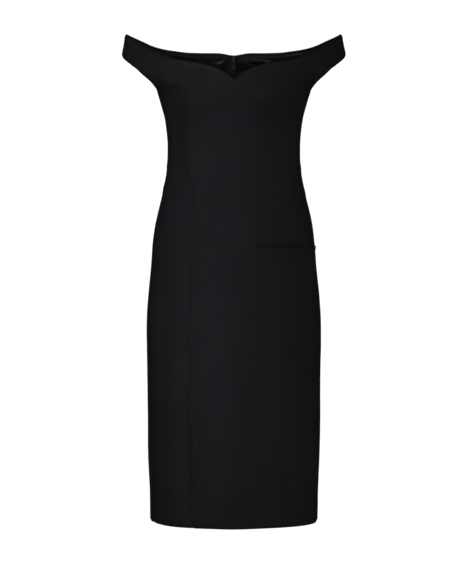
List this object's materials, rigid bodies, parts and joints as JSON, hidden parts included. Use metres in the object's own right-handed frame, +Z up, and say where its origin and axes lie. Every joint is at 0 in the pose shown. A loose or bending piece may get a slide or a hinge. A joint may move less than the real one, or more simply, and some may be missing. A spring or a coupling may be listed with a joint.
{
  "type": "off-the-shoulder midi dress",
  "caption": "Hollow fitted midi dress with a sweetheart neckline, band sleeves off the shoulder, princess seams, a hip pocket and a centre-back zip.",
  "frame": {"origin": "on the torso's axis, level with the armpits, where the wearer's body holds the dress up", "axes": "+Z up, -Y to the front, +X to the wearer's left"},
  "size_m": [0.4698, 0.2446, 1.0268],
  "materials": {
    "cloth": "matte black cloth with a soft sheen",
    "lining": "black satin lining",
    "zip_tape": "black woven zip tape and coil",
    "zip_metal": "black lacquered zip metal"
  },
  "bodies": {
    "dress": {"front_centre": "cloth", "side_front_left": "cloth", "side_front_right": "cloth", "side_back_left": "cloth", "side_back_right": "cloth", "back_centre_left": "cloth", "back_centre_right": "cloth", "sleeve_left": "cloth", "sleeve_right": "cloth", "pocket_jet_upper": "cloth", "pocket_jet_lower": "cloth", "facing_back_left": "cloth", "facing_back_right": "cloth", "lining_back_left": "lining", "lining_back_right": "lining", "zip_tape_left": "zip_tape", "zip_tape_right": "zip_tape", "zip_coil": "zip_tape", "zip_slider": "zip_metal", "zip_bail": "zip_metal"},
    "pull": {"zip_pull": "zip_metal"}
  },
  "joints": [
    {"name": "pull_swing", "type": "hinge", "parent": "dress", "child": "pull", "pos_m": [0, 0.08488, 0.0765], "axis": [-1, 0, 0], "range_deg": [0, 170]}
  ]
}
